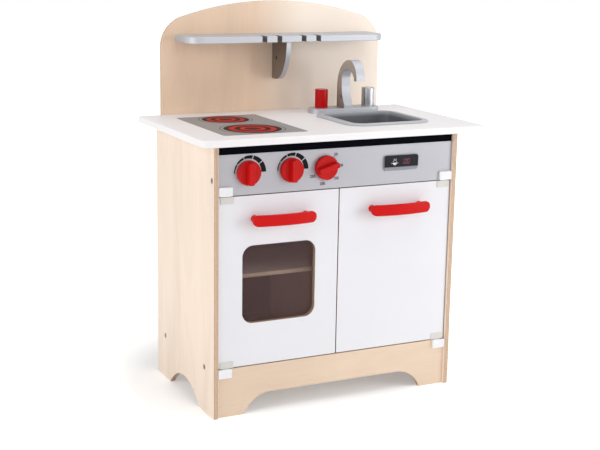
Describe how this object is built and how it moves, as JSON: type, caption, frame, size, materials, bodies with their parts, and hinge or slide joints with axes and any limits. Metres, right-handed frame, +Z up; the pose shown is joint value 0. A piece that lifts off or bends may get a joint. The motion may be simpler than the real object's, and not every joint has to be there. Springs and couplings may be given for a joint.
{
  "type": "play kitchen",
  "caption": "Free-standing plywood play kitchen: oven with a windowed door, storage cupboard, hob, lift-out sink with turning taps, click knobs and a splashback shelf.",
  "frame": {"origin": "on the floor, under the middle of the kitchen's overall box", "axes": "+Z up, -Y the front that the child stands at, +X to the right seen from the front"},
  "size_m": [0.722, 0.438, 0.93],
  "materials": {
    "birch_plywood": "clear matt lacquer on birch plywood",
    "white_board": "satin white paint",
    "silver_board": "satin silver-grey paint",
    "black_board": "satin black paint",
    "hardboard": "raw hardboard",
    "beech": "raw beech dowel",
    "red_plastic": "satin moulded plastic",
    "hob_plastic": "smoked translucent sheet",
    "basin_plastic": "fine-grained moulded plastic",
    "white_plastic": "moulded plastic",
    "clip_plastic": "moulded plastic",
    "grey_plastic": "moulded plastic",
    "silver_plastic": "metallic moulded plastic",
    "lens_black": "gloss",
    "smoked_pane": "smoked clear sheet",
    "steel": "bright zinc plated",
    "spring_steel": "bright",
    "magnet": "dull ferrite",
    "cell": "plain metal jacket"
  },
  "bodies": {
    "cabinet": {"side_panel_left": "birch_plywood", "side_panel_right": "birch_plywood", "front_skirt": "birch_plywood", "bottom_board": "birch_plywood", "centre_divider": "birch_plywood", "control_panel": "silver_board", "top_rail": "black_board", "rear_rail": "birch_plywood", "back_panel": "hardboard", "oven_shelf": "birch_plywood", "shelf_pegs": "beech", "worktop": "white_board", "corner_blocks": "beech", "wood_screws": "steel", "cabinet_bolts": "steel", "barrel_nuts": "steel", "hob_panel": "hob_plastic", "burner_lamps": "red_plastic", "battery_box": "grey_plastic", "battery_cover": "grey_plastic", "batteries": "cell", "tap_plate": "silver_board", "splashback": "birch_plywood", "splash_shelf": "silver_board", "shelf_bracket": "silver_board", "display_base": "grey_plastic", "display_lens": "lens_black", "click_springs": "spring_steel", "hinge_brackets": "white_plastic", "bracket_screws": "steel", "magnet_catches": "white_plastic", "catch_magnets": "magnet"},
    "sink_basin": {"sink_basin": "basin_plastic"},
    "hot_tap": {"hot_tap": "red_plastic", "hot_tap_spindle": "white_plastic"},
    "cold_tap": {"cold_tap": "silver_plastic", "cold_tap_spindle": "white_plastic"},
    "spout": {"spout": "silver_board", "spout_bolt": "steel", "spout_barrel_nut": "steel"},
    "oven_left_knob": {"knob_oven_left": "red_plastic", "knob_spindle_oven_left": "white_plastic"},
    "oven_right_knob": {"knob_oven_right": "red_plastic", "knob_spindle_oven_right": "white_plastic"},
    "thermostat_knob": {"knob_thermostat": "red_plastic", "knob_spindle_thermostat": "white_plastic"},
    "oven_door": {"oven_door": "white_board", "window_pane": "smoked_pane", "oven_handle": "red_plastic", "oven_handle_screws": "steel", "oven_door_clips": "clip_plastic", "oven_strike_plate": "steel", "oven_door_screws": "steel"},
    "storage_door": {"storage_door": "white_board", "storage_handle": "red_plastic", "storage_handle_screws": "steel", "storage_door_clips": "clip_plastic", "storage_strike_plate": "steel", "storage_door_screws": "steel"}
  },
  "joints": [
    {"name": "oven_door_hinge", "type": "hinge", "parent": "cabinet", "child": "oven_door", "pos_m": [-0.284, -0.153, 0.318], "axis": [0, 0, -1], "range_deg": [0, 110]},
    {"name": "storage_door_hinge", "type": "hinge", "parent": "cabinet", "child": "storage_door", "pos_m": [0.284, -0.153, 0.318], "axis": [0, 0, 1], "range_deg": [0, 110]},
    {"name": "oven_left_knob_turn", "type": "hinge", "parent": "cabinet", "child": "oven_left_knob", "pos_m": [-0.231, -0.159, 0.57], "axis": [0, 1, 0], "range_deg": [0, 270]},
    {"name": "oven_right_knob_turn", "type": "hinge", "parent": "cabinet", "child": "oven_right_knob", "pos_m": [-0.125, -0.159, 0.57], "axis": [0, 1, 0], "range_deg": [0, 270]},
    {"name": "thermostat_knob_turn", "type": "hinge", "parent": "cabinet", "child": "thermostat_knob", "pos_m": [-0.037, -0.159, 0.57], "axis": [0, 1, 0], "range_deg": [-31, 167]},
    {"name": "hot_tap_turn", "type": "hinge", "parent": "cabinet", "child": "hot_tap", "pos_m": [0.093, 0.123, 0.668], "axis": [0, 0, 1], "continuous": true},
    {"name": "cold_tap_turn", "type": "hinge", "parent": "cabinet", "child": "cold_tap", "pos_m": [0.2265, 0.123, 0.668], "axis": [0, 0, 1], "continuous": true},
    {"name": "spout_swivel", "type": "hinge", "parent": "cabinet", "child": "spout", "pos_m": [0.1515, 0.106, 0.668], "axis": [0, 0, 1], "range_deg": [-60, 60]},
    {"name": "basin_lift", "type": "slide", "parent": "cabinet", "child": "sink_basin", "axis": [0, 0, 1], "range_m": [0, 0.075]}
  ]
}
